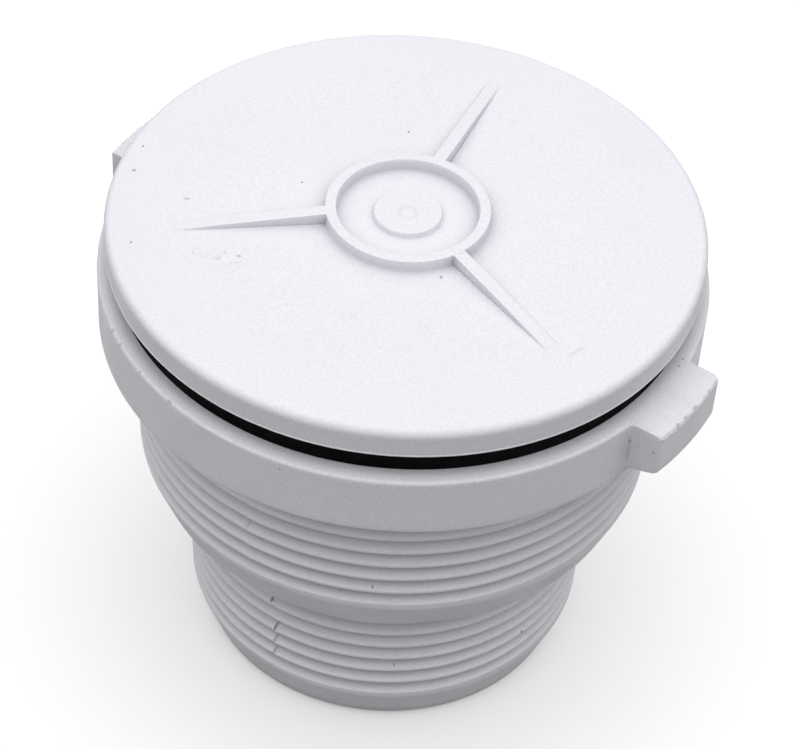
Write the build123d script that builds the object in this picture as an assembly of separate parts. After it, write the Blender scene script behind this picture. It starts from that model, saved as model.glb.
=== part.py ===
from build123d import *
import math
import os

# Hydrostatic relief valve: a stepped through-wall body with two external
# tapered pipe threads (2 in above, 1-1/2 in below), a flange with two wrench
# ears, and a spring-closed sealing cap that lifts off the flange.
# Millimetres. Z is the axis of the fitting, z = 0 is the lower rim.

os.makedirs("parts", exist_ok=True)

# ---------------------------------------------------------------- dimensions
# pipe threads (NPT, 11.5 threads per inch, 1:16 taper on diameter)
PITCH = 25.4 / 11.5
TAPER = 1.0 / 32.0                 # radius gained per mm of height
TAPER_DEG = math.degrees(math.atan(TAPER))
THREAD_DEPTH = 1.62
CREST_HALF = 0.13                  # half width of the crest flat
GROOVE_HALF = PITCH / 2 - CREST_HALF
GROOVE_ROOT_HALF = GROOVE_HALF - THREAD_DEPTH * math.tan(math.radians(30.0))
THREAD_START_AZ = 90.0             # degrees, where the first groove begins

# heights of the body
Z_STEP = 23.48                     # shoulder between the two threads
Z_FLANGE_UNDER = 45.33
Z_SEAT = 52.74                     # top of the flange, the sealing face

# upper (2 in) thread, with a conical lead below it
UP_LEAD_R = 28.00                  # radius of the lead at the step
UP_LEAD_Z1 = 28.00                 # top of the lead
UP_THREAD_Z1 = 43.00
UP_CREST_R = 29.72                 # crest radius at UP_CREST_Z
UP_CREST_Z = 28.40
UP_FRONT_Z = 30.70                 # crest height at azimuth -90 degrees
UP_NECK_R = 28.20

# lower (1-1/2 in) thread, with a conical lead below it
LO_LEAD_R = 21.80                  # radius of the lead at the lower rim
LO_LEAD_Z1 = 5.20
LO_THREAD_Z1 = 21.00
LO_CREST_R = 23.66
LO_CREST_Z = 5.40
LO_FRONT_Z = 7.85
LO_NECK_R = 21.70

# bores
LO_BORE_R = 18.50
UP_BORE_R = 24.50
Z_BORE_STEP = 27.00

# flange and wrench ears
FLANGE_R = 34.00
FLANGE_EDGE = 0.38
EAR_R = 37.70
EAR_HALF_W = 6.00
EAR_Z0 = 47.30                     # underside at the outer face
EAR_Z_ROOT = 46.00                 # underside where it meets the flange
EAR_CORNER = 0.45
EAR_AZ = -32.7                     # degrees, the second ear is opposite

# guide spider
SPIDER_R = 24.42
SPIDER_RIM_R = 21.60
SPIDER_Z0 = Z_BORE_STEP
SPIDER_Z1 = 33.00
SPIDER_ARMS = 4
SPIDER_ARM_W = 2.60
HUB_R = 6.40
HUB_Z1 = 39.00
STEM_R = 3.00
STEM_FIT = 0.08                    # radial running clearance in the hub

# sealing cap
CAP_R = 33.12
CAP_Z0 = 55.67
CAP_Z1 = 59.09
CAP_FILLET = 0.85
SPIGOT_R = 17.90
SPIGOT_Z0 = 52.94
RING_R_OUT = 9.20
RING_R_IN = 7.75
RING_H = 1.60
RIB_W = 1.70
RIB_R_END = 26.20
RIB_AZ = (-50.3, 69.7, -170.3)
PAD_R = 3.90
PAD_H = 0.55
DIMPLE_R = 1.30
DIMPLE_D = 0.35

# gasket
GASKET_R_OUT = 32.10
GASKET_R_IN = 18.00

# hardware on the stem
INSERT_R = 4.50
INSERT_Z0 = 53.20
INSERT_Z1 = 57.90
STEM_Z0 = 0.70
STEM_Z1 = 57.50
PLATE_R = 23.40
PLATE_T = 2.00
WASHER_R = 6.25
WASHER_T = 1.20
NUT_AF = 10.00
NUT_H = 5.00
THRUST_R = 6.90
THRUST_T = 1.00
CUP_R = 7.60
CUP_T = 1.10
CUP_RIM_T = 0.90
CUP_RIM_H = 2.60
LOCKNUT_Z0 = 1.60
LOCKNUT_H = 5.60
NYLON_H = 1.60

# return spring
SPRING_MEAN_R = 5.20
WIRE_R = 0.55
SPRING_TURNS = 7.0


def revolve_profile(points):
    """Solid of revolution about Z from (r, z) points."""
    face = make_face(Polyline(*[(r, 0, z) for r, z in points], close=True))
    return revolve(face, axis=Axis.Z, revolution_arc=360)


def tube(r_out, r_in, z0, z1, chamfer_out=0.0):
    """Ring with an optional chamfer on both outer edges."""
    c = chamfer_out
    if c:
        pts = [(r_in, z0), (r_out - c, z0), (r_out, z0 + c), (r_out, z1 - c),
               (r_out - c, z1), (r_in, z1)]
    else:
        pts = [(r_in, z0), (r_out, z0), (r_out, z1), (r_in, z1)]
    return revolve_profile(pts)


def groove_turns(crest_r, crest_z, start_z, count, azimuth):
    """Right-handed tapered V groove as cutting solids, one per turn.

    The groove's centre line leaves azimuth at start_z and climbs one PITCH a turn.
    """
    def crest(z):
        return crest_r + (z - crest_z) * TAPER
    slant = PITCH / math.cos(math.radians(TAPER_DEG))
    sections = [
        (-GROOVE_HALF, 0.6),
        (-GROOVE_HALF, 0.0),
        (-GROOVE_ROOT_HALF, -THREAD_DEPTH),
        (GROOVE_ROOT_HALF, -THREAD_DEPTH),
        (GROOVE_HALF, 0.0),
        (GROOVE_HALF, 0.6),
    ]
    turns = []
    for k in range(count):
        z0 = start_z + k * PITCH
        edges = [Edge.make_helix(slant, PITCH, crest(z0) + dr, center=(0, 0, z0 + dz),
                                 normal=(0, 0, 1), angle=TAPER_DEG) for dz, dr in sections]
        faces = [Face.make_surface_from_curves(edges[i], edges[(i + 1) % len(edges)])
                 for i in range(len(edges))]
        for t in (0, 1):
            faces.append(Face(Wire.make_polygon([e @ t for e in edges], close=True)))
        turns.append(Solid(Shell(faces)).rotate(Axis.Z, azimuth))
    return turns


def hexagon_prism(across_flats, z0, height, bore_r, chamfer=0.55):
    """Hexagon nut blank with chamfered corners and a plain bore."""
    r_corner = across_flats / math.sqrt(3.0)
    prism = extrude(Plane.XY.offset(z0) * RegularPolygon(r_corner, 6), amount=height)
    envelope = revolve_profile([
        (0, z0), (r_corner - chamfer, z0), (r_corner + 0.05, z0 + chamfer * 0.62),
        (r_corner + 0.05, z0 + height - chamfer * 0.62), (r_corner - chamfer, z0 + height),
        (0, z0 + height)])
    nut = prism & envelope
    return nut - Pos(0, 0, z0 + height / 2) * Cylinder(bore_r, height + 2)


# ---------------------------------------------------------------- valve body
def crest_up(z):
    return UP_CREST_R + (z - UP_CREST_Z) * TAPER


def crest_lo(z):
    return LO_CREST_R + (z - LO_CREST_Z) * TAPER


E = FLANGE_EDGE
body_core = revolve_profile([
    (LO_BORE_R + 0.6, 0.0), (LO_LEAD_R - 0.25, 0.0), (LO_LEAD_R + 0.1, 0.3),
    (crest_lo(LO_LEAD_Z1), LO_LEAD_Z1), (crest_lo(LO_THREAD_Z1 - 1.3), LO_THREAD_Z1 - 1.3),
    (LO_NECK_R, LO_THREAD_Z1 + 0.6), (LO_NECK_R, Z_STEP),
    (UP_LEAD_R - 0.25, Z_STEP), (UP_LEAD_R + 0.1, Z_STEP + 0.3),
    (crest_up(UP_LEAD_Z1), UP_LEAD_Z1), (crest_up(UP_THREAD_Z1 - 1.3), UP_THREAD_Z1 - 1.3),
    (UP_NECK_R, UP_THREAD_Z1 + 0.2), (UP_NECK_R, Z_FLANGE_UNDER),
    (FLANGE_R - 0.15, Z_FLANGE_UNDER), (FLANGE_R, Z_FLANGE_UNDER + 0.15),
    (FLANGE_R, Z_SEAT - E), (FLANGE_R - 0.3 * E, Z_SEAT - 0.3 * E),
    (FLANGE_R - E, Z_SEAT),
    (UP_BORE_R + 0.6, Z_SEAT), (UP_BORE_R, Z_SEAT - 0.6),
    (UP_BORE_R, Z_BORE_STEP), (LO_BORE_R, Z_BORE_STEP), (LO_BORE_R, 0.6),
])


def wrench_ear(az):
    """Parallel-sided lug with an outer face concentric with the flange."""
    side = make_face(Plane.XZ * Polyline(
        (30.0, Z_SEAT), (EAR_R + 2.0, Z_SEAT),
        (EAR_R + 2.0, EAR_Z0 + 2.0 * (EAR_Z0 - EAR_Z_ROOT) / (EAR_R - FLANGE_R)),
        (FLANGE_R, EAR_Z_ROOT), (30.0, EAR_Z_ROOT), close=True))
    blank = extrude(side, amount=EAR_HALF_W, both=True)
    height = Z_SEAT - Z_FLANGE_UNDER
    disc = Pos(0, 0, Z_FLANGE_UNDER + height / 2) * Cylinder(EAR_R, height)
    ear = blank & disc
    corners = ear.edges().filter_by(Axis.Z).filter_by(
        lambda e: e.center().X > 33.0)
    ear = fillet(corners, EAR_CORNER)
    rims = ear.edges().filter_by(
        lambda e: abs(e.center().Z - Z_SEAT) < 1e-3 and e.center().X > 34.0)
    ear = chamfer(rims, 0.28)
    return ear.rotate(Axis.Z, az)


# a crest crosses azimuth -90 at FRONT_Z, so the groove below it starts lower by
# half a pitch, and lower again by the part of a turn back to THREAD_START_AZ
back_turn = ((-90.0 - THREAD_START_AZ) % 360.0) / 360.0
up_groove_z = UP_FRONT_Z - PITCH / 2 - back_turn * PITCH
lo_groove_z = LO_FRONT_Z - PITCH / 2 - back_turn * PITCH

valve_body = body_core
for groove in (groove_turns(UP_CREST_R, UP_CREST_Z, up_groove_z, 7, THREAD_START_AZ)
               + groove_turns(LO_CREST_R, LO_CREST_Z, lo_groove_z, 7, THREAD_START_AZ)):
    valve_body = valve_body - groove
print("thread grooves", round(body_core.volume - valve_body.volume, 1))
valve_body = valve_body + wrench_ear(EAR_AZ) + wrench_ear(EAR_AZ + 180.0)

# -------------------------------------------------------------- guide spider
rim = tube(SPIDER_R, SPIDER_RIM_R, SPIDER_Z0, SPIDER_Z1, 0.35)
hub = revolve_profile([
    (0, SPIDER_Z0), (HUB_R, SPIDER_Z0), (HUB_R, SPIDER_Z1 + 1.0),
    (HUB_R - 0.7, HUB_Z1 - 0.5), (HUB_R - 1.2, HUB_Z1), (0, HUB_Z1)])
guide_spider = rim + hub
for k in range(SPIDER_ARMS):
    arm_profile = make_face(Polyline(
        (4.5, 0, SPIDER_Z0), (SPIDER_RIM_R + 1.0, 0, SPIDER_Z0),
        (SPIDER_RIM_R + 1.0, 0, SPIDER_Z1 - 1.0), (HUB_R, 0, SPIDER_Z1 + 3.0),
        (4.5, 0, SPIDER_Z1 + 3.0), close=True))
    arm = extrude(arm_profile, amount=SPIDER_ARM_W / 2, both=True)
    guide_spider = guide_spider + arm.rotate(Axis.Z, k * 360.0 / SPIDER_ARMS)
guide_spider = guide_spider - Pos(0, 0, 33) * Cylinder(STEM_R + STEM_FIT, 30)

# ---------------------------------------------------------------------- cap
cap_disc = revolve_profile([
    (0, SPIGOT_Z0), (SPIGOT_R - 0.4, SPIGOT_Z0), (SPIGOT_R, SPIGOT_Z0 + 0.4),
    (SPIGOT_R, CAP_Z0), (CAP_R - 0.25, CAP_Z0), (CAP_R, CAP_Z0 + 0.25),
    (CAP_R, CAP_Z1), (0, CAP_Z1)])
cap_rim = cap_disc.edges().filter_by(GeomType.CIRCLE).filter_by(
    lambda e: abs(e.radius - CAP_R) < 1e-6 and abs(e.center().Z - CAP_Z1) < 1e-6)
cap_disc = fillet(cap_rim, CAP_FILLET)
ring = revolve_profile([
    (RING_R_IN, CAP_Z1 - 0.5), (RING_R_OUT, CAP_Z1 - 0.5),
    (RING_R_OUT, CAP_Z1 + RING_H - 0.3), (RING_R_OUT - 0.3, CAP_Z1 + RING_H),
    (RING_R_IN + 0.3, CAP_Z1 + RING_H), (RING_R_IN, CAP_Z1 + RING_H - 0.3)])
cap = cap_disc + ring
for az in RIB_AZ:
    rib_profile = make_face(Polyline(
        (RING_R_OUT - 0.6, 0, CAP_Z1 - 0.5), (RIB_R_END, 0, CAP_Z1 - 0.5),
        (RIB_R_END, 0, CAP_Z1), (RING_R_OUT - 0.6, 0, CAP_Z1 + RING_H), close=True))
    rib = extrude(rib_profile, amount=RIB_W / 2, both=True)
    cap = cap + rib.rotate(Axis.Z, az)
pad = revolve_profile([
    (0, CAP_Z1 - 0.5), (PAD_R, CAP_Z1 - 0.5), (PAD_R, CAP_Z1 + PAD_H - 0.25),
    (PAD_R - 0.25, CAP_Z1 + PAD_H), (DIMPLE_R, CAP_Z1 + PAD_H),
    (DIMPLE_R * 0.55, CAP_Z1 + PAD_H - DIMPLE_D * 0.8), (0, CAP_Z1 + PAD_H - DIMPLE_D)])
cap = cap + pad
cap = cap - Pos(0, 0, (SPIGOT_Z0 - 1 + INSERT_Z1) / 2) * Cylinder(
    INSERT_R, INSERT_Z1 - SPIGOT_Z0 + 1)

# ----------------------------------------------------- pieces under the cap
seal_gasket = tube(GASKET_R_OUT, GASKET_R_IN, Z_SEAT, CAP_Z0, 0.12)

stem_insert = revolve_profile([
    (STEM_R, INSERT_Z0), (INSERT_R, INSERT_Z0), (INSERT_R, INSERT_Z0 + 1.6),
    (INSERT_R - 0.5, INSERT_Z0 + 1.8), (INSERT_R - 0.5, INSERT_Z1 - 1.8),
    (INSERT_R, INSERT_Z1 - 1.6), (INSERT_R, INSERT_Z1), (STEM_R, INSERT_Z1)])

gasket_clamp_plate = tube(PLATE_R, STEM_R + 0.15, Z_SEAT - PLATE_T, Z_SEAT, 0.25)

z_washer1 = Z_SEAT - PLATE_T
z_washer0 = z_washer1 - WASHER_T
clamp_washer = tube(WASHER_R, STEM_R + 0.15, z_washer0, z_washer1, 0.15)
clamp_nut = hexagon_prism(NUT_AF, z_washer0 - NUT_H, NUT_H, STEM_R)

stem = revolve_profile([
    (0, STEM_Z0), (STEM_R - 0.6, STEM_Z0), (STEM_R, STEM_Z0 + 0.6),
    (STEM_R, STEM_Z1 - 0.6), (STEM_R - 0.6, STEM_Z1), (0, STEM_Z1)])

# -------------------------------------------------- spring and its retainers
thrust_z1 = SPIDER_Z0
thrust_z0 = thrust_z1 - THRUST_T
spring_thrust_washer = tube(THRUST_R, STEM_R + 0.35, thrust_z0, thrust_z1, 0.12)

cup_z0 = LOCKNUT_Z0 + LOCKNUT_H
cup_z1 = cup_z0 + CUP_T
spring_cup = revolve_profile([
    (STEM_R + 0.08, cup_z0), (CUP_R - 0.5, cup_z0), (CUP_R, cup_z0 + 0.5),
    (CUP_R, cup_z0 + CUP_RIM_H), (CUP_R - CUP_RIM_T, cup_z0 + CUP_RIM_H),
    (CUP_R - CUP_RIM_T, cup_z1), (STEM_R + 0.08, cup_z1)])

spring_len = thrust_z0 - cup_z1
spring_pitch = (spring_len - 2 * WIRE_R) / SPRING_TURNS
spring_path = Edge.make_helix(spring_pitch, spring_len - 2 * WIRE_R, SPRING_MEAN_R,
                              center=(0, 0, cup_z1 + WIRE_R))
spring_section = Plane(origin=spring_path @ 0, z_dir=spring_path % 0) * Circle(WIRE_R)
return_spring = sweep(spring_section, path=spring_path, is_frenet=True)
# ground flat ends: nothing passes the two seats
return_spring = return_spring & (Pos(0, 0, (cup_z1 + thrust_z0) / 2) * Cylinder(
    SPRING_MEAN_R + 2, spring_len))

stem_locknut = hexagon_prism(NUT_AF, LOCKNUT_Z0 + NYLON_H * 0.55,
                             LOCKNUT_H - NYLON_H * 0.55, STEM_R)
collar = revolve_profile([
    (STEM_R + 1.15, LOCKNUT_Z0 + 0.25), (STEM_R + 1.4, LOCKNUT_Z0),
    (NUT_AF / 2 - 0.55, LOCKNUT_Z0), (NUT_AF / 2 - 0.25, LOCKNUT_Z0 + 0.3),
    (NUT_AF / 2 - 0.25, LOCKNUT_Z0 + 1.6), (STEM_R + 1.15, LOCKNUT_Z0 + 1.6)])
nylon_seat = Pos(0, 0, LOCKNUT_Z0 + NYLON_H / 2 - 0.5) * Cylinder(
    STEM_R + 1.15, NYLON_H + 1.0)
stem_locknut = (stem_locknut + collar) - nylon_seat
locknut_insert = tube(STEM_R + 1.15, STEM_R, LOCKNUT_Z0 + 0.25, LOCKNUT_Z0 + NYLON_H)

nodes = {
    "valve_body": valve_body,
    "guide_spider": guide_spider,
    "cap": cap,
    "stem_insert": stem_insert,
    "seal_gasket": seal_gasket,
    "gasket_clamp_plate": gasket_clamp_plate,
    "clamp_washer": clamp_washer,
    "clamp_nut": clamp_nut,
    "stem": stem,
    "spring_thrust_washer": spring_thrust_washer,
    "return_spring": return_spring,
    "spring_cup": spring_cup,
    "stem_locknut": stem_locknut,
    "locknut_insert": locknut_insert,
}
for name, shape in nodes.items():
    solids = shape.solids()
    out = solids[0] if len(solids) == 1 else Compound(children=list(solids))
    bb = out.bounding_box()
    print(name, len(solids), "valid", out.is_valid, "vol", round(out.volume, 1),
          "z", round(bb.min.Z, 2), round(bb.max.Z, 2), "r", round(bb.max.X, 2))
    export_step(out, "parts/" + name + ".step")
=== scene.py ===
"""Looks for the stepped relief valve: body, cap, gasket, stem, spring, nuts and guide spider."""

import math

import bpy
import numpy as np
from mathutils import Matrix, Vector


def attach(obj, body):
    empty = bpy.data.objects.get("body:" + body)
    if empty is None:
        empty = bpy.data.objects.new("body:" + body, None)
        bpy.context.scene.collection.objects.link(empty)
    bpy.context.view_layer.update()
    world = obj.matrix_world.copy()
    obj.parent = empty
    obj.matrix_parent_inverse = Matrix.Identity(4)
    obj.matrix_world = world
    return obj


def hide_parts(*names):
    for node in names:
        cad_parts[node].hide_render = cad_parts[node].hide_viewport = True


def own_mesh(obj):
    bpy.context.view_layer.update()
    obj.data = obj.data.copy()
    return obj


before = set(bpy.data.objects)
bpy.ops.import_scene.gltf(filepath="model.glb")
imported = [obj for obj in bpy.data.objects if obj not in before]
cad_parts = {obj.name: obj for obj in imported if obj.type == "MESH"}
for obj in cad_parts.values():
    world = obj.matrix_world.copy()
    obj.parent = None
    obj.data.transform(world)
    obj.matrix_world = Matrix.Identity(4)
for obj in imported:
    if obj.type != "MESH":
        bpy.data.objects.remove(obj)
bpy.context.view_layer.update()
MM = 0.001
rng = np.random.default_rng(4711)
TAU = 2 * math.pi

# ------------------------------------------------------------------ sizes (mm)
PITCH = 2.2087
TAPER = 1 / 32
DEPTH = 1.62
UP_LEAD_R, UP_LEAD_Z1, UP_THREAD_Z1 = 28.00, 28.00, 43.00
UP_CREST_R, UP_CREST_Z, UP_FRONT_Z, UP_NECK_R = 29.72, 28.40, 30.70, 28.20
LO_LEAD_R, LO_LEAD_Z1, LO_THREAD_Z1 = 21.80, 5.20, 21.00
LO_CREST_R, LO_CREST_Z, LO_FRONT_Z, LO_NECK_R = 23.66, 5.40, 7.85, 21.70
Z_STEP, Z_UNDER, Z_SEAT = 23.48, 45.33, 52.74
FLANGE_R, EDGE = 34.0, 0.38
EAR_R, EAR_HALF, EAR_Z0, EAR_Z_ROOT, EAR_AZ = 37.7, 6.0, 47.3, 46.0, -32.7
LO_BORE_R, UP_BORE_R, Z_BORE_STEP = 18.5, 24.5, 27.0
PARTING_AZ = -120.5


# ------------------------------------------------------------------ mesh tools
def make_object(name, verts, faces, slot, body, smooth_deg=35.0, merge=2e-6):
    mesh = bpy.data.meshes.new(name)
    mesh.from_pydata([tuple(v) for v in np.asarray(verts) * MM], [], faces)
    obj = bpy.data.objects.new(name, mesh)
    bpy.context.scene.collection.objects.link(obj)
    import bmesh
    bm = bmesh.new()
    bm.from_mesh(mesh)
    bmesh.ops.remove_doubles(bm, verts=bm.verts, dist=merge)
    bmesh.ops.dissolve_degenerate(bm, dist=1e-7, edges=bm.edges)
    bmesh.ops.recalc_face_normals(bm, faces=bm.faces)
    bm.to_mesh(mesh)
    bm.free()
    mesh.polygons.foreach_set("use_smooth", [True] * len(mesh.polygons))
    mesh.set_sharp_from_angle(angle=math.radians(smooth_deg))
    mesh.update()
    mesh.materials.append(MATS[slot])
    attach(obj, body)
    return obj


def grid_faces(rows, cols, close_cols, close_rows=False):
    faces = []
    rr = rows if close_rows else rows - 1
    cc = cols if close_cols else cols - 1
    for i in range(rr):
        a, b = i * cols, ((i + 1) % rows) * cols
        for j in range(cc):
            k = (j + 1) % cols
            faces.append((a + j, a + k, b + k, b + j))
    return faces


def smoothstep(a, b, x):
    t = np.clip((np.asarray(x, float) - a) / (b - a), 0, 1)
    return t * t * (3 - 2 * t)


def soft_min(a, b, s):
    """Smooth minimum of two arrays, rounded over about s."""
    h = np.clip(0.5 + 0.5 * (b - a) / s, 0, 1)
    return b * (1 - h) + a * h - s * h * (1 - h)


def lathe(name, profile, slot, body, n=144, centre=(0, 0), smooth_deg=35.0):
    """Closed profile of (r, z) turned about Z."""
    t = np.arange(n) * TAU / n
    rows = [np.c_[centre[0] + r * np.cos(t), centre[1] + r * np.sin(t), np.full(n, z)]
            for r, z in profile]
    return make_object(name, np.concatenate(rows), grid_faces(len(profile), n, True, True),
                       slot, body, smooth_deg)


def rounded(points, radii, steps=5):
    """Profile corner points with a rounding radius each, as a finer closed profile."""
    out = []
    n = len(points)
    for i in range(n):
        p, r = np.array(points[i], float), radii[i]
        a, b = np.array(points[i - 1], float), np.array(points[(i + 1) % n], float)
        u, v = (a - p) / np.linalg.norm(a - p), (b - p) / np.linalg.norm(b - p)
        if r <= 0:
            out.append(tuple(p))
            continue
        ang = math.acos(float(np.clip(u @ v, -1, 1)))
        cut = r / math.tan(ang / 2)
        c = p + (u + v) / np.linalg.norm(u + v) * (r / math.sin(ang / 2))
        s, e = p + u * cut - c, p + v * cut - c
        a0, a1 = math.atan2(s[1], s[0]), math.atan2(e[1], e[0])
        da = (a1 - a0 + math.pi) % TAU - math.pi
        for k in range(steps + 1):
            t = a0 + da * k / steps
            out.append((c[0] + r * math.cos(t), c[1] + r * math.sin(t)))
    return out


# ------------------------------------------------------------------- materials
class Tree:
    """Small helper around one material's node tree."""

    def __init__(self, name):
        self.mat = bpy.data.materials.new(name)
        self.mat.use_nodes = True
        self.nt = self.mat.node_tree
        self.nt.nodes.clear()
        self.out = self.nt.nodes.new("ShaderNodeOutputMaterial")
        self.bsdf = self.nt.nodes.new("ShaderNodeBsdfPrincipled")
        self.nt.links.new(self.bsdf.outputs[0], self.out.inputs[0])
        self.coord = self.nt.nodes.new("ShaderNodeTexCoord")

    def link(self, a, b):
        self.nt.links.new(a, b)

    def mapping(self, scale=(1, 1, 1), rot=(0, 0, 0)):
        m = self.nt.nodes.new("ShaderNodeMapping")
        m.inputs["Scale"].default_value = scale
        m.inputs["Rotation"].default_value = rot
        self.link(self.coord.outputs["Object"], m.inputs["Vector"])
        return m.outputs["Vector"]

    def noise(self, scale, detail=3.0, rough=0.55, vector=None, distortion=0.0):
        n = self.nt.nodes.new("ShaderNodeTexNoise")
        n.inputs["Scale"].default_value = scale
        n.inputs["Detail"].default_value = detail
        n.inputs["Roughness"].default_value = rough
        n.inputs["Distortion"].default_value = distortion
        self.link(vector or self.coord.outputs["Object"], n.inputs["Vector"])
        return n.outputs["Fac"]

    def ramp(self, fac, lo, hi, a=0.0, b=1.0):
        m = self.nt.nodes.new("ShaderNodeMapRange")
        m.interpolation_type = "SMOOTHSTEP"
        self.link(fac, m.inputs["Value"])
        for key, val in (("From Min", lo), ("From Max", hi), ("To Min", a), ("To Max", b)):
            m.inputs[key].default_value = val
        return m.outputs["Result"]

    def math(self, op, a, b=None):
        m = self.nt.nodes.new("ShaderNodeMath")
        m.operation = op
        for i, v in enumerate((a, b)):
            if v is None:
                continue
            if isinstance(v, (int, float)):
                m.inputs[i].default_value = v
            else:
                self.link(v, m.inputs[i])
        return m.outputs[0]

    def mix(self, fac, a, b):
        m = self.nt.nodes.new("ShaderNodeMix")
        m.data_type = "RGBA"
        self.link(fac, m.inputs[0])
        for key, v in ((6, a), (7, b)):
            if isinstance(v, tuple):
                m.inputs[key].default_value = (*v, 1)
            else:
                self.link(v, m.inputs[key])
        return m.outputs[2]

    def speck(self, scale, radius, keep, vector=None):
        """Sparse round specks: radius in cells, keep is the share of cells that hold one."""
        v = self.nt.nodes.new("ShaderNodeTexVoronoi")
        v.inputs["Scale"].default_value = scale
        self.link(vector or self.coord.outputs["Object"], v.inputs["Vector"])
        sep = self.nt.nodes.new("ShaderNodeSeparateColor")
        self.link(v.outputs["Color"], sep.inputs[0])
        has = self.ramp(sep.outputs[0], 1 - keep, 1 - keep + 0.01)
        size = self.ramp(sep.outputs[1], 0.0, 1.0, radius * 0.5, radius * 1.3)
        rel = self.math("DIVIDE", v.outputs["Distance"], size)
        dot = self.ramp(rel, 0.65, 1.0, 1.0, 0.0)
        return self.math("MULTIPLY", has, dot)

    def painted_occlusion_shade(self, distance):
        # painted shade: returns how enclosed a point is, used to darken the colour in crevices
        a = self.nt.nodes.new("ShaderNodeAmbientOcclusion")
        a.samples = 6
        a.inputs["Distance"].default_value = distance
        return a.outputs["AO"]

    def blob(self, centre, semi, az=None, soft=0.45):
        """1 inside a small ellipsoid given in mm, 0 outside.

        With az the centre is (radius, along, z) and semi (radial, along, z) at that azimuth.
        """
        source = self.coord.outputs["Object"]
        if az is not None:
            source = self.mapping(rot=(0, 0, -math.radians(az)))
        m = self.nt.nodes.new("ShaderNodeMapping")
        m.inputs["Scale"].default_value = [1000.0 / v for v in semi]
        m.inputs["Location"].default_value = [-c / v for c, v in zip(centre, semi)]
        self.link(source, m.inputs["Vector"])
        d = self.nt.nodes.new("ShaderNodeVectorMath")
        d.operation = "LENGTH"
        self.link(m.outputs["Vector"], d.inputs[0])
        return self.ramp(d.outputs["Value"], soft, 1.0, 1.0, 0.0)

    def bump(self, height, distance, strength=1.0, normal=None):
        b = self.nt.nodes.new("ShaderNodeBump")
        b.inputs["Strength"].default_value = strength
        b.inputs["Distance"].default_value = distance
        self.link(height, b.inputs["Height"])
        if normal is not None:
            self.link(normal, b.inputs["Normal"])
        return b.outputs["Normal"]


def finish_material(t, colour, rough, normal, metallic=0.0, **sockets):
    t.link(colour, t.bsdf.inputs["Base Color"])
    t.link(rough, t.bsdf.inputs["Roughness"])
    t.link(normal, t.bsdf.inputs["Normal"])
    t.bsdf.inputs["Metallic"].default_value = metallic
    for key, val in sockets.items():
        t.bsdf.inputs[key.replace("_", " ")].default_value = val
    return t.mat


def polar(r, az, z):
    return (r * math.cos(math.radians(az)), r * math.sin(math.radians(az)), z)


# specks, nicks and scuffs seen on the moulding, plus one painted shade line in the ear's root fillet: (strength,
# [(centre mm, half sizes mm)])
MARKS_AND_PAINTED_SHADE = [
    (0.85, [((-11.89, 4.27, 59.39), (0.13, 0.16, 0.3)), ((-30.03, 8.88, 59.12), (0.14, 0.18, 0.3)),
            ((22.9, 0.05, 13.1), (1.2, 0.30, 0.45), -120.3), ((23.2, -0.05, 12.6), (1.5, 0.17, 1.1), -120.6),
            ((29.1, 0.0, 31.1), (0.7, 0.17, 0.17), -92.0), ((23.8, 0.0, 10.45), (0.5, 0.16, 0.22), -45.0),
            (polar(21.6, -95.0, 0.15), (0.22, 0.22, 0.22)), ((23.2, 0.0, 16.9), (1.2, 0.25, 0.3), -122.0),
            ((23.0, 0.0, 10.55), (0.7, 0.15, 0.15), -85.0)]),
    (0.5, [((-17.73, -8.48, 59.34), (0.35, 0.16, 0.3)), ((-30.54, 4.65, 59.13), (0.3, 0.3, 0.3)),
           ((-29.47, -7.25, 59.14), (0.22, 0.22, 0.3)), ((4.00, -9.69, 59.40), (0.22, 0.32, 0.3)),
           ((23.2, 0.0, 10.4), (1.5, 0.13, 1.1), -120.8), ((23.2, 0.0, 8.2), (1.5, 0.13, 1.1), -120.9),
           ((29.2, 0.0, 35.6), (1.3, 0.11, 0.75), -120.6), ((28.6, 0.0, 29.3), (0.9, 0.14, 0.5), -99.0),
           ((30.66, -12.76, 52.74), (0.2, 0.2, 0.2)), ((30.19, -13.89, 52.74), (0.2, 0.2, 0.2)),
           ((33.7, -16.8, 52.2), (0.22, 0.22, 0.2)), ((32.8, -18.3, 51.6), (0.2, 0.2, 0.2)),
           ((31.4, -20.7, 52.2), (0.22, 0.22, 0.2)), ((29.8, -22.9, 52.3), (0.2, 0.2, 0.2)),
           ((28.2, -25.0, 52.3), (0.22, 0.22, 0.2)), ((25.05, -23.21, 50.4), (0.22, 0.22, 0.25)),
           ((25.9, -23.8, 50.1), (0.16, 0.16, 0.16)), ((27.46, -24.76, 50.3), (0.2, 0.2, 0.2)),
           ((-29.6, -16.3, 52.5), (0.28, 0.28, 0.25)), ((-27.0, -20.3, 52.5), (0.3, 0.25, 0.25)),
           (polar(33.9, -109.5, 51.6), (0.2, 0.2, 0.2)), (polar(33.9, -75.0, 52.0), (0.16, 0.16, 0.16))]),
    (0.28, [((-24.21, 0.31, 59.28), (0.55, 0.3, 0.3)),
            ((28.6, 0.0, 25.4), (1.2, 0.10, 1.7), -126.5), ((23.0, 0.0, 6.9), (1.2, 0.35, 0.8), -154.0),
            # the tall mark at (25.0, -23.2, 49.2) is painted shade: a dark line in the concave fillet where the
            # ear meets the flange wall
            ((22.6, 0.0, 2.4), (1.2, 0.10, 0.9), -100.8), ((23.0, 0.0, 16.9), (1.2, 0.9, 0.10), -121.5), ((25.0, -23.2, 49.2), (0.35, 0.35, 3.0)),
            ((-30.7, -14.3, 52.5), (0.4, 0.3, 0.35)), ((-23.6, -24.4, 52.5), (0.5, 0.4, 0.35))]),
    (0.09, [((26.9, 0.0, 59.3), (0.32, 2.0, 0.5), -46.5)]),
]


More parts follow.
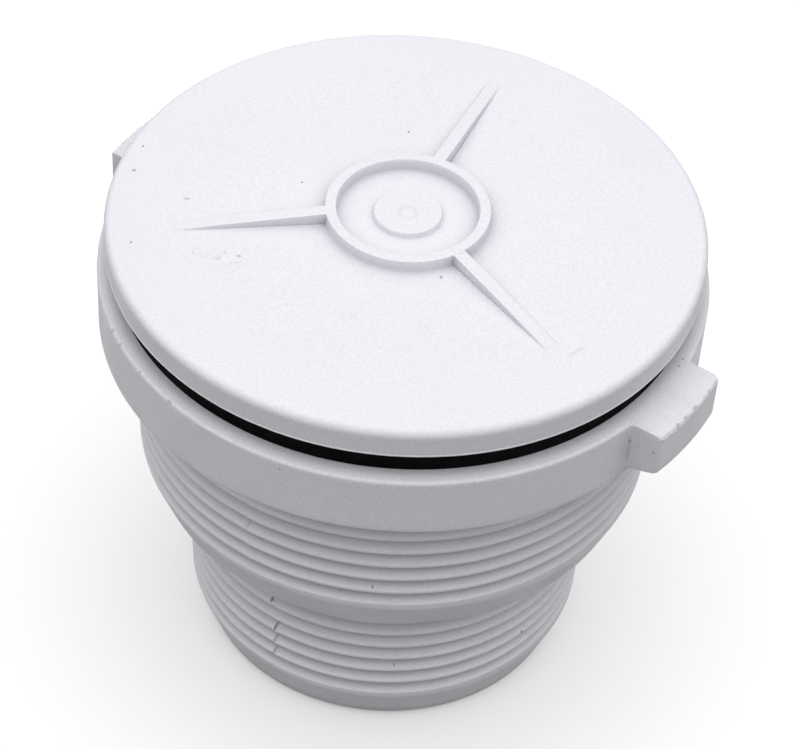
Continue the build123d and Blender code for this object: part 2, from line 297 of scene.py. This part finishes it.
def white_plastic():
    t = Tree("white_plastic")
    broad = t.noise(38.0, 3.0)
    grain = t.noise(3600.0, 2.0, 0.6)
    fine = t.noise(8200.0, 1.0)
    col = t.mix(t.ramp(broad, 0.3, 0.7), (0.770, 0.764, 0.815), (0.795, 0.792, 0.835))
    col = t.mix(t.ramp(grain, 0.32, 0.72, 0.0, 0.85), col, (0.715, 0.705, 0.762))
    # rubbed grey patches, sparse and soft
    patch = t.math("MULTIPLY", t.ramp(t.noise(95.0, 4.0, 0.7), 0.60, 0.78),
                   t.ramp(t.noise(900.0, 3.0, 0.7), 0.48, 0.68, 0.0, 0.42))
    col = t.mix(patch, col, (0.42, 0.41, 0.44))
    # specks of dirt: many faint small ones and a few dark ones
    col = t.mix(t.math("MULTIPLY", t.speck(330.0, 0.030, 0.10), 0.55), col, (0.25, 0.23, 0.25))
    col = t.mix(t.math("MULTIPLY", t.speck(120.0, 0.017, 0.22), 0.8), col, (0.07, 0.06, 0.07))
    # dark marks: real specks, nicks and scuffs, and the painted shade line at the ear root
    for strength, group in MARKS_AND_PAINTED_SHADE:
        for mark in group:
            hit = t.math("MULTIPLY", t.blob(*mark), strength)
            col = t.mix(hit, col, (0.035, 0.03, 0.035))
    # painted shade: ambient occlusion darkens the base colour in thread roots, crevices and the joins under the
    # cap and flange
    ao = t.painted_occlusion_shade(0.0024)
    col = t.mix(t.ramp(ao, 0.25, 0.92, 0.0, 1.0), t.mix(t.ramp(ao, 0.0, 0.30), (0.22, 0.205, 0.23), (0.46, 0.44, 0.49)), col)
    rough = t.ramp(t.noise(160.0, 3.0), 0.25, 0.75, 0.46, 0.62)
    n = t.bump(grain, 0.00007, 0.6)
    n = t.bump(fine, 0.00004, 0.6, n)
    return finish_material(t, col, rough, n, IOR=1.5, Specular_IOR_Level=0.35)


def black_rubber():
    t = Tree("black_rubber")
    grain = t.noise(2600.0, 3.0, 0.6)
    col = t.mix(t.ramp(t.noise(240.0, 4.0), 0.35, 0.75), (0.0012, 0.0012, 0.0014), (0.0045, 0.0045, 0.005))
    rough = t.ramp(t.noise(420.0, 3.0), 0.3, 0.7, 0.72, 0.90)
    return finish_material(t, col, rough, t.bump(grain, 0.00005, 0.5), Specular_IOR_Level=0.06)


def grey_plastic():
    t = Tree("grey_plastic")
    col = t.mix(t.ramp(t.noise(120.0, 4.0), 0.3, 0.7), (0.20, 0.205, 0.215), (0.26, 0.265, 0.275))
    col = t.mix(t.math("MULTIPLY", t.speck(220.0, 0.02, 0.2), 0.6), col, (0.06, 0.06, 0.06))
    rough = t.ramp(t.noise(300.0, 3.0), 0.3, 0.7, 0.42, 0.58)
    return finish_material(t, col, rough, t.bump(t.noise(1900.0, 3.0), 0.00004, 0.4))


def acetal():
    t = Tree("acetal")
    col = t.mix(t.ramp(t.noise(90.0, 4.0), 0.3, 0.7), (0.70, 0.69, 0.66), (0.80, 0.79, 0.765))
    rough = t.ramp(t.noise(260.0, 3.0), 0.3, 0.7, 0.28, 0.40)
    return finish_material(t, col, rough, t.bump(t.noise(2200.0, 3.0), 0.00003, 0.35))


def nylon():
    t = Tree("nylon")
    col = t.mix(t.ramp(t.noise(300.0, 4.0), 0.3, 0.7), (0.06, 0.16, 0.40), (0.09, 0.22, 0.50))
    rough = t.ramp(t.noise(500.0, 3.0), 0.3, 0.7, 0.35, 0.5)
    return finish_material(t, col, rough, t.bump(t.noise(2500.0, 3.0), 0.00003, 0.35))


def metal(name, dark, light, rlo, rhi, stretch):
    t = Tree(name)
    brushed = t.noise(900.0, 4.0, 0.65, t.mapping(stretch))
    col = t.mix(t.ramp(brushed, 0.3, 0.75), dark, light)
    stain = t.ramp(t.noise(260.0, 4.0, 0.65), 0.58, 0.76, 0.0, 0.5)
    col = t.mix(stain, col, tuple(c * 0.55 for c in dark))
    rough = t.ramp(t.noise(700.0, 3.0), 0.3, 0.7, rlo, rhi)
    n = t.bump(brushed, 0.00002, 0.4)
    return finish_material(t, col, rough, n, metallic=1.0)


MATS = {
    "white_plastic": white_plastic(),
    "black_rubber": black_rubber(),
    "grey_plastic": grey_plastic(),
    "acetal": acetal(),
    "nylon": nylon(),
    "stainless": metal("stainless", (0.50, 0.49, 0.47), (0.66, 0.65, 0.63), 0.22, 0.38, (1, 1, 6)),
    "spring_steel": metal("spring_steel", (0.42, 0.41, 0.40), (0.60, 0.59, 0.57), 0.20, 0.34, (1, 1, 3)),
    "brass": metal("brass", (0.62, 0.42, 0.16), (0.78, 0.56, 0.24), 0.24, 0.40, (1, 1, 5)),
}
SLOT_OF = {
    "valve_body": "white_plastic", "guide_spider": "white_plastic", "cap": "white_plastic",
    "stem_insert": "brass", "seal_gasket": "black_rubber", "gasket_clamp_plate": "grey_plastic",
    "clamp_washer": "stainless", "clamp_nut": "stainless", "stem": "stainless",
    "stem_locknut": "stainless", "spring_thrust_washer": "acetal", "spring_cup": "acetal",
    "return_spring": "spring_steel", "locknut_insert": "nylon",
}
for node_name, slot_name in SLOT_OF.items():
    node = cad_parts[node_name]
    node.data.materials.clear()
    node.data.materials.append(MATS[slot_name])

# ------------------------------------------------------------------- valve body
def crest_up(z):
    return UP_CREST_R + (z - UP_CREST_Z) * TAPER


def crest_lo(z):
    return LO_CREST_R + (z - LO_CREST_Z) * TAPER


def waves(az_deg, seeds, amp):
    """Slow seeded waviness round the axis, periodic over one turn."""
    out = np.zeros_like(az_deg)
    for k, s in enumerate(seeds):
        out += math.cos(s * 6.1 + k) * np.sin(np.radians(az_deg) * (7 + 5 * k) + s * TAU)
    return amp * out / math.sqrt(len(seeds))


def bumps(az_deg, n, amp, lo=1, hi=40, seed=0):
    """Finer seeded roughness of an edge."""
    r = np.random.default_rng(seed)
    out = np.zeros_like(az_deg)
    for _ in range(n):
        out += r.normal() * np.sin(np.radians(az_deg) * r.integers(lo, hi) + r.random() * TAU)
    return amp * out / math.sqrt(n)


def ear_offset(az_deg):
    """Azimuth from the nearer ear's centre line, in degrees."""
    d1 = (az_deg - EAR_AZ + 180) % 360 - 180
    d2 = (az_deg - EAR_AZ) % 360 - 180
    return np.where(np.abs(d1) < np.abs(d2), d1, d2)


def outline(az_deg):
    """Plan radius of the flange with its ears, corners and root fillets rounded."""
    p = np.radians(np.abs(ear_offset(az_deg)))
    out = np.full_like(p, FLANGE_R)
    cr, fr = 0.47, 0.6
    side = np.divide(EAR_HALF, np.sin(np.maximum(p, 1e-6)))
    xc, yc = math.sqrt((EAR_R - cr) ** 2 - (EAR_HALF - cr) ** 2), EAR_HALF - cr
    dc, ac = math.hypot(xc, yc), math.atan2(yc, xc)
    a_side0 = math.atan2(EAR_HALF, xc)
    dist = dc * np.cos(p - ac) + np.sqrt(np.maximum(cr ** 2 - (dc * np.sin(p - ac)) ** 2, 0))
    xf, yf = math.sqrt((FLANGE_R + fr) ** 2 - (EAR_HALF + fr) ** 2), EAR_HALF + fr
    df, af = math.hypot(xf, yf), math.atan2(yf, xf)
    a_side1 = math.atan2(EAR_HALF, xf)
    fillet = df * np.cos(p - af) - np.sqrt(np.maximum(fr ** 2 - (df * np.sin(p - af)) ** 2, 0))
    out = np.where(p < af, fillet, out)
    out = np.where(p < a_side1, side, out)
    out = np.where(p < a_side0, dist, out)
    return np.where(p < ac, EAR_R, out)


def build_body():
    seam = 90.0
    cols = list(np.arange(0, 360, 1.5))
    for c in (EAR_AZ, EAR_AZ + 180):
        cols += list((c + np.arange(-9.0, 9.01, 0.45) - seam) % 360)
        for s in (-1, 1):
            cols += list((c + s * np.arange(8.3, 11.0, 0.13) - seam) % 360)
    cols += list((PARTING_AZ + np.arange(-1.5, 1.51, 0.15) - seam) % 360)
    cols = np.unique(np.round(np.array(cols), 3))
    keep = [0]
    for i in range(1, len(cols)):
        if cols[i] - cols[keep[-1]] > 0.09:
            keep.append(i)
    cols = np.append(cols[keep], 360.0)
    az = cols + seam
    turn = cols / 360.0
    d_part = (az - PARTING_AZ + 180) % 360 - 180
    d_part2 = (az - PARTING_AZ) % 360 - 180
    rows = []

    def row(r, z):
        r = np.broadcast_to(np.asarray(r, float), az.shape)
        z = np.broadcast_to(np.asarray(z, float), az.shape)
        rows.append(np.c_[r * np.cos(np.radians(az)), r * np.sin(np.radians(az)), z])

    # top face and the edge round the outline
    R = outline(az)
    extra = R - FLANGE_R
    on_ear = smoothstep(0.3, 2.5, extra)
    ragged = bumps(az, 40, 1.0, 90, 330, seed=5)
    flash = bumps(az, 26, 1.0, 20, 110, seed=8)
    row(UP_BORE_R + 0.6, Z_SEAT)
    row(29.0, Z_SEAT)
    row(32.6, Z_SEAT)
    for k, ang in enumerate(np.radians([0, 18, 36, 54, 72, 90])):
        inset = EDGE * (1 - math.sin(ang))
        drop = EDGE * (1 - math.cos(ang))
        w = math.sin(ang) * (1 - 0.6 * (k == 5))
        chip = 1 + 2.2 * smoothstep(178, 190, az % 360) * smoothstep(236, 226, az % 360)
        rag = on_ear * ragged * (0.10 + 0.15 * (extra > 3.3)) * w + (1 - on_ear) * 0.024 * chip * flash * w
        rad = np.where(extra > 0.02, R - inset * np.minimum(1, 0.3 + extra), R - inset)
        row(rad + np.minimum(rag, 0.0), Z_SEAT - drop - np.abs(rag) * 0.8)
    z_ear = EAR_Z_ROOT + 0.05 + (EAR_Z0 - EAR_Z_ROOT) * np.clip(extra / (EAR_R - FLANGE_R), 0, 1)
    for k in np.linspace(0.08, 1.0, 7):
        row(R + 0.010 * ragged * on_ear - 0.02, 52.3 + (z_ear + 0.3 - 52.3) * k)
    for ang in np.radians([30, 60, 90]):
        inset = 0.3 * (1 - math.cos(ang))
        row(FLANGE_R + np.maximum(extra - inset, 0) - 0.02, z_ear + 0.3 * (1 - math.sin(ang)))
    row(FLANGE_R - 0.02, EAR_Z_ROOT + 0.02)
    for ang in np.radians([0, 22, 45, 68, 90]):
        row(FLANGE_R - 0.02 - 0.15 * (1 - math.cos(ang)), Z_UNDER + 0.15 * (1 - math.sin(ang)))
    row(31.5, Z_UNDER)
    for ang in np.radians([0, 30, 60, 90]):
        row(UP_NECK_R + 0.5 * (1 - math.sin(ang)), Z_UNDER - 0.5 * (1 - math.cos(ang)))

    # threads: rows follow the helix, so every crest and root is one clean line
    phase = np.array([-1.0, -0.92, -0.70, -0.45, -0.28, -0.16, -0.07, 0.0, 0.07, 0.16,
                      0.28, 0.45, 0.65, 0.85, 0.97, 1.06])

    def thread(z_lo, z_hi, front_z, crest, profile, seeds, nicks):
        crest0 = front_z - 0.5 * PITCH          # crest height at the seam
        n0 = int((z_lo - crest0) / PITCH) - 3
        n1 = int((z_hi - crest0) / PITCH) + 2
        ws = []
        for n in range(n1, n0 - 1, -1):
            for p in phase[::-1]:
                ws.append((n, p, crest0 + n * PITCH + p))
        for n, p, w in ws:
            raw = w + PITCH * turn
            if raw.min() > z_hi or raw.max() < z_lo:
                if not (raw.min() - PITCH < z_hi and raw.max() + PITCH > z_lo):
                    continue
            z = np.clip(raw, z_lo, z_hi)
            ph = np.abs(p) * np.ones_like(z)
            s = 0.085
            d = s * np.log1p(np.exp((ph - 0.20) * 1.732 / s))
            d = soft_min(d, np.full_like(d, DEPTH + 0.05), 0.14)
            # the groove below the first crest does not exist, and the first one opens gradually
            if p >= 0:
                idx = n
            else:
                idx = n - 1
            if idx < -1:
                d = d * 0
            elif idx == -1:
                d = d * smoothstep(0, 34, cols)
            wav = waves(az, seeds, 0.03)
            zz = np.clip(raw + wav * (1.0 if z_lo + 1.5 < raw.mean() < z_hi - 1.5 else 0.0), z_lo, z_hi)
            side = np.sign(d_part) * np.exp(-np.abs(d_part) / 5) + np.sign(d_part2) * np.exp(-np.abs(d_part2) / 5)
            base = crest(zz) - d - 0.05 + 0.035 * side * smoothstep(1.4, 0.0, d) + waves(az, seeds[::-1], 0.02)
            r = soft_min(base, profile(zz), 0.12)
            for z0, z1, depth in nicks:
                r = r - depth * np.exp(-((d_part + 0.30 * (zz - z0) / (z1 - z0)) / 0.42) ** 2) * smoothstep(z0 - 0.1, z0 + 0.3, zz) * smoothstep(z1 + 0.1, z1 - 0.3, zz)
            row(r, zz)

    def prof_up(z):
        cone = UP_LEAD_R + (z - Z_STEP) * (crest_up(UP_LEAD_Z1) - UP_LEAD_R) / (UP_LEAD_Z1 - Z_STEP)
        a = np.where(z < UP_LEAD_Z1, cone, crest_up(z))
        t = np.clip((z - (UP_THREAD_Z1 - 1.3)) / 1.5, 0, 1)
        return np.where(t > 0, crest_up(UP_THREAD_Z1 - 1.3) * (1 - t) + UP_NECK_R * t, a)

    def prof_lo(z):
        cone = LO_LEAD_R + z * (crest_lo(LO_LEAD_Z1) - LO_LEAD_R) / LO_LEAD_Z1
        a = np.where(z < LO_LEAD_Z1, cone, crest_lo(z))
        t = np.clip((z - (LO_THREAD_Z1 - 1.3)) / 1.9, 0, 1)
        return np.where(t > 0, crest_lo(LO_THREAD_Z1 - 1.3) * (1 - t) + LO_NECK_R * t, a)

    thread(Z_STEP + 0.35, Z_UNDER - 0.6, UP_FRONT_Z, crest_up, prof_up, (0.13, 0.57, 0.91),
           [(35.1, 36.2, 0.16), (26.0, 27.6, 0.05)])
    for ang in np.radians([25, 50, 75, 90]):
        row(UP_LEAD_R - 0.02 - 0.3 * (1 - math.cos(ang)), Z_STEP + 0.3 * (1 - math.sin(ang)))
    row(24.5, Z_STEP)
    for ang in np.radians([0, 30, 60, 90]):
        row(LO_NECK_R + 0.4 * (1 - math.sin(ang)), Z_STEP - 0.4 * (1 - math.cos(ang)))
    thread(0.35, Z_STEP - 0.6, LO_FRONT_Z, crest_lo, prof_lo, (0.31, 0.77, 0.42),
           [(12.0, 13.4, 0.40), (9.8, 11.2, 0.26), (7.6, 9.0, 0.24)])
    rim = bumps(az, 16, 0.02, 3, 60, seed=11)
    for ang in np.radians([25, 50, 75, 90]):
        row(LO_LEAD_R - 0.02 + rim - 0.3 * (1 - math.cos(ang)), 0.3 * (1 - math.sin(ang)))
    # rim and bores
    row(20.0, 0.0)
    row(LO_BORE_R + 0.6, 0.0)
    row(LO_BORE_R, 0.6)
    for z in (9.0, 18.0, Z_BORE_STEP):
        row(LO_BORE_R, z)
    row(UP_BORE_R, Z_BORE_STEP)
    for z in (35.0, 44.0, Z_SEAT - 0.6):
        row(UP_BORE_R, z)
    n = len(az)
    # the two seam columns match row by row only away from the helix, so merge by distance
    body = make_object("body_moulding", np.concatenate(rows), grid_faces(len(rows), n, False, True),
                       "white_plastic", "valve_body", 32.0, merge=4e-6)
    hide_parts("valve_body")
    return body


# --------------------------------------------------------------------- the cap
CAP_R, CAP_Z0, CAP_Z1, CAP_FILLET = 33.12, 55.67, 59.09, 0.85
RING_OUT, RING_IN, RING_H = 9.20, 7.75, 1.60
CAP_CROWN = 0.32                   # the photo's disc stands higher towards its middle
RIB_W, RIB_END, RIB_AZ = 1.70, 26.20, (-50.3, 69.7, -170.3)
PAD_R, PAD_H, DIMPLE_R, DIMPLE_D = 3.90, 0.55, 1.30, 0.35
SPIGOT_R, SPIGOT_Z = 17.90, 52.94


def build_cap():
    off = np.array([-1.6, -1.25, -1.0, -0.9, -0.845, -0.80, -0.72, -0.6, -0.25,
                    0.25, 0.6, 0.72, 0.80, 0.845, 0.9, 1.0, 1.25, 1.6])
    n_fill = 42

    def columns(r):
        out, lat = [], []
        reach = min(1.0, r / 4.5)
        for k, a in enumerate(sorted(RIB_AZ)):
            nxt = sorted(RIB_AZ)[(k + 1) % 3] + (360 if k == 2 else 0)
            ang = a + np.degrees(np.arcsin(off * reach / max(r, 1e-3))) if r > 0.2 else a + off
            ang1 = nxt + (np.degrees(np.arcsin(off[0] * reach / max(r, 1e-3))) if r > 0.2 else off[0])
            fill = ang[-1] + (ang1 - ang[-1]) * np.arange(1, n_fill + 1) / (n_fill + 1)
            out += list(ang) + list(fill)
            lat += list(np.abs(off)) + [9.0] * n_fill
        return np.radians(np.array(out)), np.array(lat)

    def edge_step(x, x0, side, w=0.10):
        """0 outside, 1 inside an edge at x0, with a rounded shoulder."""
        return smoothstep(-w, w, (x - x0) * side)

    def height(r, lat):
        h = np.zeros_like(lat)
        ring = edge_step(r, RING_OUT - 0.06, -1) * edge_step(r, RING_IN + 0.06, 1)
        crown = 1 - 0.04 * ((r - (RING_OUT + RING_IN) / 2) / 0.72) ** 2
        h_ring = (RING_H - CAP_CROWN) * ring * (crown if ring > 0.5 else 1)
        along = np.clip((RIB_END - r) / (RIB_END - (RING_OUT - 0.6)), 0, 1)
        rib = (r > RING_OUT - 0.5) * along * (RING_H - CAP_CROWN)
        across = smoothstep(0.845, 0.72, lat)
        h = np.maximum(h_ring, rib * across)
        # a small fillet where the rib and the ring meet the disc
        h = h + 0.05 * np.exp(-np.maximum(lat - 0.85, 0) / 0.12) * (lat > 0.85) * (rib > 0.05) * (r > RING_OUT)
        if r < PAD_R + 0.4:
            pad = PAD_H * edge_step(r, PAD_R - 0.08, -1, 0.12)
            dim = DIMPLE_D * smoothstep(DIMPLE_R, DIMPLE_R * 0.45, r)
            h = np.maximum(h, pad - dim)
        return h

    radii = [0.02, 0.3, 0.6, 0.8, 1.0, 1.2, 1.4, 2.2, 3.2, 3.6, 3.70, 3.76, 3.82, 3.88, 3.94, 4.0,
             4.3, 5.2, 6.2, 7.2, 7.55, 7.67, 7.72, 7.76, 7.80, 7.84, 7.88, 7.93, 8.05, 8.25, 8.48, 8.7,
             8.9, 9.0, 9.05, 9.09, 9.13, 9.17, 9.21, 9.26, 9.4, 9.7]
    radii += list(np.arange(10.2, 26.0, 0.7)) + [26.2, 26.5, 27.5, 28.8, 30.2, 31.3]
    rows = []

    def row(r, z, lat_fn=None):
        a, lat = columns(r)
        rows.append(np.c_[r * np.cos(a), r * np.sin(a), np.broadcast_to(z, a.shape)])

    for r in radii:
        a, lat = columns(r)
        deg = np.degrees(a)
        dish = CAP_CROWN * (1 - min(r / (CAP_R - CAP_FILLET), 1.0) ** 3)
        z = CAP_Z1 - 0.005 + height(r, lat) * 0.995 + dish
        rows.append(np.c_[r * np.cos(a), r * np.sin(a), z])
    a0, _ = columns(33.0)
    dents = bumps(np.degrees(a0), 30, 1.0, 8, 90, seed=21)
    for ang in np.radians(np.linspace(0, 90, 8)):
        rr = CAP_R - CAP_FILLET + CAP_FILLET * math.sin(ang)
        zz = CAP_Z1 - CAP_FILLET + CAP_FILLET * math.cos(ang)
        rows.append(np.c_[(rr - 0.012 - 0.006 * dents) * np.cos(a0), (rr - 0.012 - 0.006 * dents) * np.sin(a0),
                          np.full_like(a0, zz - 0.005)])
    flashing = bumps(np.degrees(a0), 40, 1.0, 20, 200, seed=22)
    for dr, z in ((0.03, 57.9), (0.04, 57.0), (0.06, 56.2), (0.07, 55.93), (0.0, 55.87), (0.0, 55.80), (0.06, 55.70), (0.20, 55.67)):
        rr = CAP_R - dr - 0.008 * flashing * (z < 56)
        rr = np.minimum(rr, CAP_R)
        rows.append(np.c_[rr * np.cos(a0), rr * np.sin(a0), np.full_like(a0, z)])
    for r, z in ((30.0, CAP_Z0), (22.0, CAP_Z0), (SPIGOT_R + 0.3, CAP_Z0), (SPIGOT_R, CAP_Z0 - 0.3),
                 (SPIGOT_R, SPIGOT_Z + 0.3), (SPIGOT_R - 0.3, SPIGOT_Z), (10.0, SPIGOT_Z)):
        row(r, z)
    # blind hole for the brass insert and the stem
    for r, z in ((4.55, SPIGOT_Z), (4.55, 57.95), (0.3, 57.95)):
        row(r, z)
    n = len(columns(10.0)[0])
    verts = np.concatenate(rows)
    faces = grid_faces(len(rows), n, True)
    last = (len(rows) - 1) * n
    faces.append(tuple(range(n)))
    faces.append(tuple(last + k for k in range(n)))
    cap = make_object("cap_moulding", verts, faces, "white_plastic", "poppet", 30.0)
    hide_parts("cap")
    return cap


# --------------------------------------------------------------- smaller pieces
def build_small():
    gasket = lathe("seal_ring", rounded([(18.02, 52.76), (32.05, 52.76), (32.05, 55.65), (18.02, 55.65)],
                                        [0.25, 0.12, 0.30, 0.25]), "black_rubber", "poppet", 180)
    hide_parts("seal_gasket")
    plate = lathe("clamp_disc", rounded([(3.16, 50.75), (23.38, 50.75), (23.38, 52.73), (3.16, 52.73)],
                                        [0.15, 0.5, 0.3, 0.1]), "grey_plastic", "poppet", 160)
    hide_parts("gasket_clamp_plate")

    # stem with a real helical M6 thread under the cap
    n, pitch, r_top, z0, z1 = 64, 1.0, 2.99, 0.72, 57.48
    cols = np.arange(n + 1) * TAU / n
    rows = []
    for w in np.arange(z0 - pitch, z1 + pitch / 2, pitch / 6):
        raw = w + pitch * cols / TAU
        ph = round((w - z0) * 6 / pitch) % 6
        depth = (0.0, 0.05, 0.38, 0.60, 0.60, 0.30)[ph]
        end = smoothstep(z0, z0 + 0.7, raw) * smoothstep(z1, z1 - 0.7, raw)
        r = (r_top - depth * end) * (0.80 + 0.20 * end)
        z = np.clip(raw, z0, z1)
        rows.append(np.c_[r * np.cos(cols), r * np.sin(cols), z])
    m = len(rows)
    verts = np.concatenate(rows)
    faces = grid_faces(m, n + 1, False)
    centre0, centre1 = len(verts), len(verts) + 1
    verts = np.vstack([verts, [[0, 0, z0], [0, 0, z1]]])
    for j in range(n):
        faces.append((centre0, j, j + 1))
        faces.append((centre1, (m - 1) * (n + 1) + j + 1, (m - 1) * (n + 1) + j))
    stem = make_object("threaded_stem", verts, faces, "stainless", "poppet", 28.0)
    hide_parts("stem")

    # coil spring of even pitch, its wire ends capped
    wire, mean, za, zb, turns = 0.54, 5.20, 8.3, 26.0, 7.0
    steps, ring = 7 * 44, 12
    t = np.linspace(0, 1, steps + 1)
    ang = t * turns * TAU
    zc = za + wire + (zb - za - 2 * wire) * t
    centre = np.c_[mean * np.cos(ang), mean * np.sin(ang), zc]
    tang = np.gradient(centre, axis=0)
    tang /= np.linalg.norm(tang, axis=1)[:, None]
    out = np.c_[np.cos(ang), np.sin(ang), 0 * ang]
    side = np.cross(tang, out)
    side /= np.linalg.norm(side, axis=1)[:, None]
    out = np.cross(side, tang)
    q = np.arange(ring) * TAU / ring
    pts = (centre[:, None, :] + wire * (np.cos(q)[None, :, None] * out[:, None, :]
                                         + np.sin(q)[None, :, None] * side[:, None, :])).reshape(-1, 3)
    faces = grid_faces(steps + 1, ring, True)
    faces.append(tuple(range(ring)))
    faces.append(tuple(steps * ring + k for k in range(ring)))
    spring = make_object("coil_spring", pts, faces, "spring_steel", "valve_body", 50.0, merge=1e-8)
    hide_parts("return_spring")
    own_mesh(spring)


build_body()
build_cap()
build_small()

# ---------------------------------------------------------------- camera, light
E, RHO, D = 0.777, 0.069, 312.577
b = Vector((0, -math.cos(E), math.sin(E)))
u = Vector((0, math.sin(E), math.cos(E)))
x = Vector((1, 0, 0))
right = math.cos(RHO) * x + math.sin(RHO) * u
up = -math.sin(RHO) * x + math.cos(RHO) * u
cam_data = bpy.data.cameras.new("photo_camera")
cam_data.sensor_fit = "HORIZONTAL"
cam_data.sensor_width = 36.0
cam_data.lens = 121.53
cam_data.shift_x = 0.00746
cam_data.shift_y = 0.0006
cam_data.clip_start = 0.01
cam_data.dof.use_dof = False
cam = bpy.data.objects.new("photo_camera", cam_data)
loc = Vector((-0.276, 0, 34.773)) * MM + b * (D * MM)
cam.matrix_world = Matrix((
    (right.x, up.x, b.x, loc.x), (right.y, up.y, b.y, loc.y),
    (right.z, up.z, b.z, loc.z), (0, 0, 0, 1)))
bpy.context.scene.collection.objects.link(cam)
bpy.context.scene.camera = cam

scene = bpy.context.scene
scene.view_settings.view_transform = "Standard"
scene.view_settings.look = "None"
scene.view_settings.exposure = 0.0
world = bpy.data.worlds.new("studio")
world.use_nodes = True
world.node_tree.nodes["Background"].inputs[0].default_value = (1.0, 0.985, 0.955, 1)
world.node_tree.nodes["Background"].inputs[1].default_value = 0.14
scene.world = world


def area(name, energy, size, place, aim=(0, 0, 0.03), colour=(1, 1, 1)):
    data = bpy.data.lights.new(name, "AREA")
    data.energy = energy
    data.shape = "DISK"
    data.size = size
    data.color = colour
    lamp = bpy.data.objects.new(name, data)
    lamp.location = place
    lamp.rotation_euler = (Vector(place) - Vector(aim)).to_track_quat("Z", "Y").to_euler()
    bpy.context.scene.collection.objects.link(lamp)


area("top_softbox", 40.8, 3.8, (0.0, 0.0, 0.70), aim=(0, 0, 0))

bpy.ops.mesh.primitive_plane_add(size=6.0, location=(0, 0, -0.0002))
floor = bpy.context.object
floor.name = "studio_floor"
t = Tree("studio_floor")
floor_col = t.mix(t.ramp(t.noise(6.0, 3.0), 0.3, 0.7), (0.90, 0.90, 0.905), (0.93, 0.93, 0.93))
finish_material(t, floor_col, t.ramp(t.noise(30.0, 3.0), 0.3, 0.7, 0.75, 0.9),
                t.bump(t.noise(900.0, 2.0), 0.00003, 0.2), Specular_IOR_Level=0.1,
                Emission_Color=(1, 1, 1, 1), Emission_Strength=0.14)
floor.data.materials.append(t.mat)
floor.visible_diffuse = False
